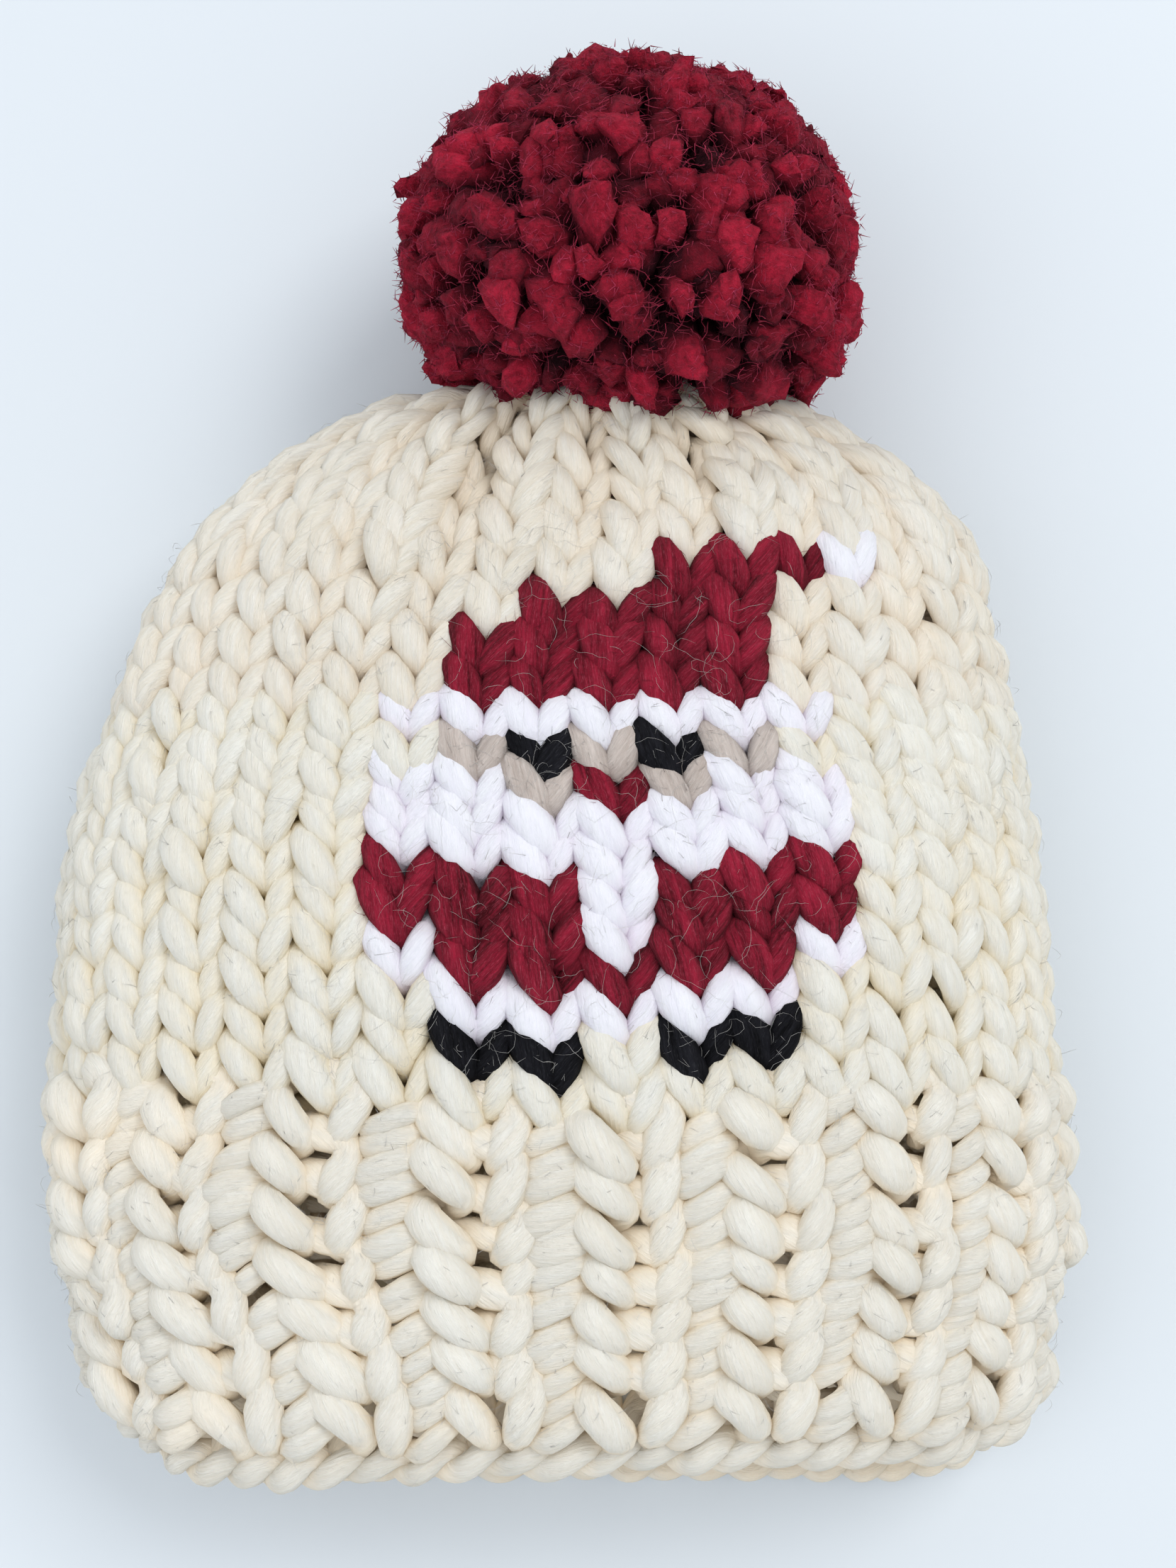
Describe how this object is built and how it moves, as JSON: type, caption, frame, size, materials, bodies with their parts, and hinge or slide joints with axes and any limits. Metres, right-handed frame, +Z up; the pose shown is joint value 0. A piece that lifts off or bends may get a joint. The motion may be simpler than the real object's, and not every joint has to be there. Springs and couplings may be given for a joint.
{
  "type": "knitted hat",
  "caption": "Chunky hand-knitted winter hat with a ribbed brim, a small Santa figure worked into its front, a gathered crown and a pompom, lying on its back.",
  "frame": {"origin": "on the surface that the hat lies on, under the middle of its bounding box", "axes": "+X to the hat's right as its front is looked down on, +Y from the brim to the pompom, +Z up, out of the hat's front"},
  "size_m": [0.1901, 0.2643, 0.0788],
  "materials": {
    "cream_wool": "matt thick wool yarn, knitted",
    "burgundy_wool": "matt cut wool yarn",
    "tie_wool": "matt wool yarn"
  },
  "bodies": {
    "root": {"knit_hat": "cream_wool", "pompom": "burgundy_wool", "pompom_tie": "tie_wool"}
  },
  "joints": []
}
